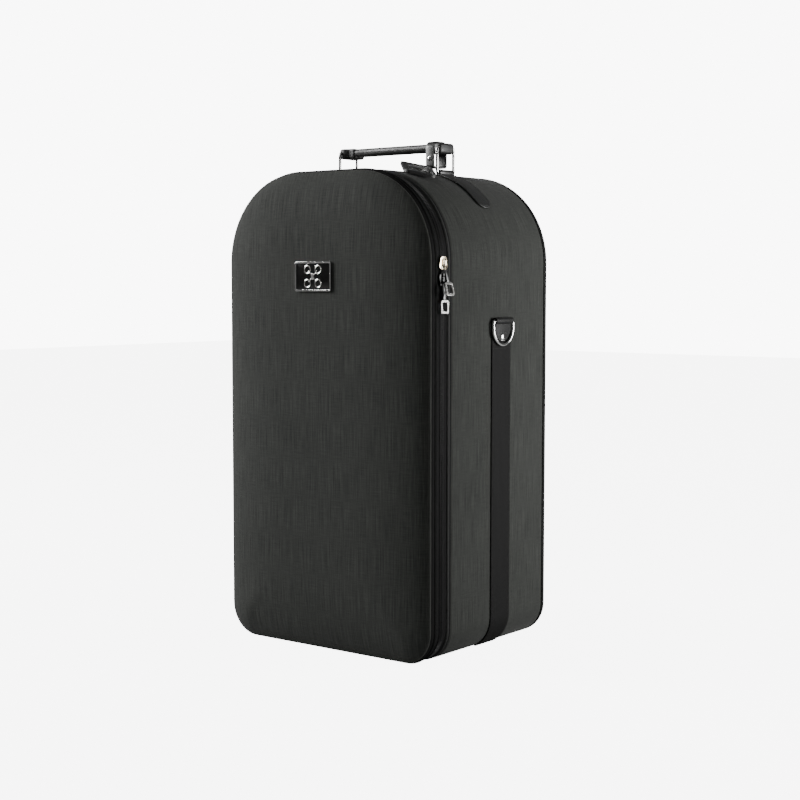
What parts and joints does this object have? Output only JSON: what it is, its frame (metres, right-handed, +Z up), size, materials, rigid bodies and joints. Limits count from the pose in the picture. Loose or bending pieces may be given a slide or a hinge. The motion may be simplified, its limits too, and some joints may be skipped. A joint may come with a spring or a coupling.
{
  "type": "drone carrying case",
  "caption": "Tall hard-shell drone case in charcoal fabric: arched top, zipped crowned lid on a fabric hinge, folding ring handle, luggage tag, side straps with D-rings and foam bays.",
  "frame": {"origin": "flat underside, half way across, near the middle of the depth", "axes": "+Z up, -Y towards the zipped lid, +X towards the side with the zip sliders"},
  "size_m": [0.3238, 0.2509, 0.5961],
  "materials": {
    "cover": "woven heathered charcoal",
    "board": "moulded board",
    "piping": "black corded edge",
    "lining": "brushed black tricot",
    "foam": "closed-cell foam, charcoal",
    "egg_foam": "convoluted foam",
    "webbing": "black woven webbing",
    "zip_teeth": "black coil",
    "zip_metal": "bright nickel",
    "slider_gold": "pale gold",
    "slider_dark": "black",
    "chrome_trim": "polished",
    "inlay": "black",
    "leather": "black, semi-gloss",
    "steel": "plain",
    "card": "paper card",
    "window": "clear vinyl"
  },
  "bodies": {
    "case": {"body_shell": "board", "body_cover": "cover", "back_cover": "cover", "back_piping": "piping", "body_piping": "piping", "body_lining": "lining", "rim_band": "board", "foam_base": "foam", "foam_rear_layer": "foam", "foam_front_layer": "foam", "zip_tape_body": "webbing", "zip_chain_body": "zip_teeth", "zip_stops_body": "zip_metal", "hinge_gusset_body": "webbing", "side_strap_right": "webbing", "side_strap_left": "webbing", "ring_keeper_right": "leather", "ring_keeper_left": "leather", "strap_rivets": "chrome_trim", "anchor_rivets": "steel", "anchor_right": "leather", "anchor_left": "leather"},
    "lid": {"lid_cover": "cover", "lid_shell": "board", "lid_lining": "lining", "lid_pad": "egg_foam", "lid_piping": "piping", "zip_tape_lid": "webbing", "zip_chain_lid": "zip_teeth", "zip_stops_lid": "zip_metal", "hinge_gusset_lid": "webbing", "name_plate": "chrome_trim", "plate_inlay": "inlay", "plate_emblem": "chrome_trim"},
    "slider_upper": {"upper_slider": "slider_gold"},
    "slider_lower": {"lower_slider": "slider_dark"},
    "pull_upper": {"upper_pull_link": "zip_metal", "upper_pull_ring": "zip_metal"},
    "pull_lower": {"lower_pull_link": "zip_metal", "lower_pull_ring": "zip_metal"},
    "ring_left": {"handle_ring_left": "chrome_trim"},
    "ring_right": {"handle_ring_right": "chrome_trim"},
    "grip": {"handle_grip": "leather", "grip_core": "steel"},
    "dring_r": {"dring_right": "chrome_trim"},
    "dring_l": {"dring_left": "chrome_trim"},
    "tag_loop": {"tag_strap": "leather"},
    "tag": {"tag_body": "leather", "tag_card": "card", "tag_window": "window"}
  },
  "joints": [
    {"name": "lid_hinge", "type": "hinge", "parent": "case", "child": "lid", "pos_m": [-0.156, -0.091, 0.2795], "axis": [0, 0, -1], "range_deg": [0, 180]},
    {"name": "upper_slider_run", "type": "hinge", "parent": "lid", "child": "slider_upper", "pos_m": [0.0465, -0.091, 0.453], "axis": [0, -1, 0], "range_deg": [0, 90]},
    {"name": "lower_slider_run", "type": "slide", "parent": "lid", "child": "slider_lower", "axis": [0, 0, -1], "range_m": [0, 0.36]},
    {"name": "lower_pull_flip", "type": "hinge", "parent": "slider_lower", "child": "pull_lower", "pos_m": [0.15415, -0.091, 0.4305], "axis": [0, -1, 0], "range_deg": [0, 120]},
    {"name": "upper_pull_flip", "type": "hinge", "parent": "slider_upper", "child": "pull_upper", "pos_m": [0.15415, -0.091, 0.4492], "axis": [0, -1, 0], "range_deg": [0, 120]},
    {"name": "handle_fold", "type": "hinge", "parent": "case", "child": "ring_left", "pos_m": [-0.074, 0.02, 0.55899], "axis": [0, 1, 0], "range_deg": [0, 60]},
    {"name": "right_ring_fold", "type": "hinge", "parent": "case", "child": "ring_right", "pos_m": [0.074, 0.02, 0.55899], "axis": [0, 1, 0], "range_deg": [0, 60]},
    {"name": "grip_level", "type": "hinge", "parent": "ring_left", "child": "grip", "pos_m": [-0.074, 0.02, 0.58859], "axis": [0, 1, 0], "range_deg": [-60, 0]},
    {"name": "dring_right_lift", "type": "hinge", "parent": "case", "child": "dring_r", "pos_m": [0.1562, 0.022, 0.386], "axis": [0, -1, 0], "range_deg": [0, 170]},
    {"name": "dring_left_lift", "type": "hinge", "parent": "case", "child": "dring_l", "pos_m": [-0.1562, 0.022, 0.386], "axis": [0, 1, 0], "range_deg": [0, 170]},
    {"name": "tag_loop_lift", "type": "slide", "parent": "case", "child": "tag_loop", "axis": [0, 0, -1], "range_m": [-0.013, 0]},
    {"name": "tag_lift", "type": "hinge", "parent": "tag_loop", "child": "tag", "pos_m": [0.05, -0.006, 0.568], "axis": [0.7003, 0.6892, -0.1858], "range_deg": [-60, 0]}
  ],
  "couplings": [
    {"joint": "upper_pull_flip", "follows": "lower_pull_flip", "ratio": 1},
    {"joint": "right_ring_fold", "follows": "handle_fold", "ratio": 1},
    {"joint": "grip_level", "follows": "handle_fold", "ratio": -1}
  ]
}
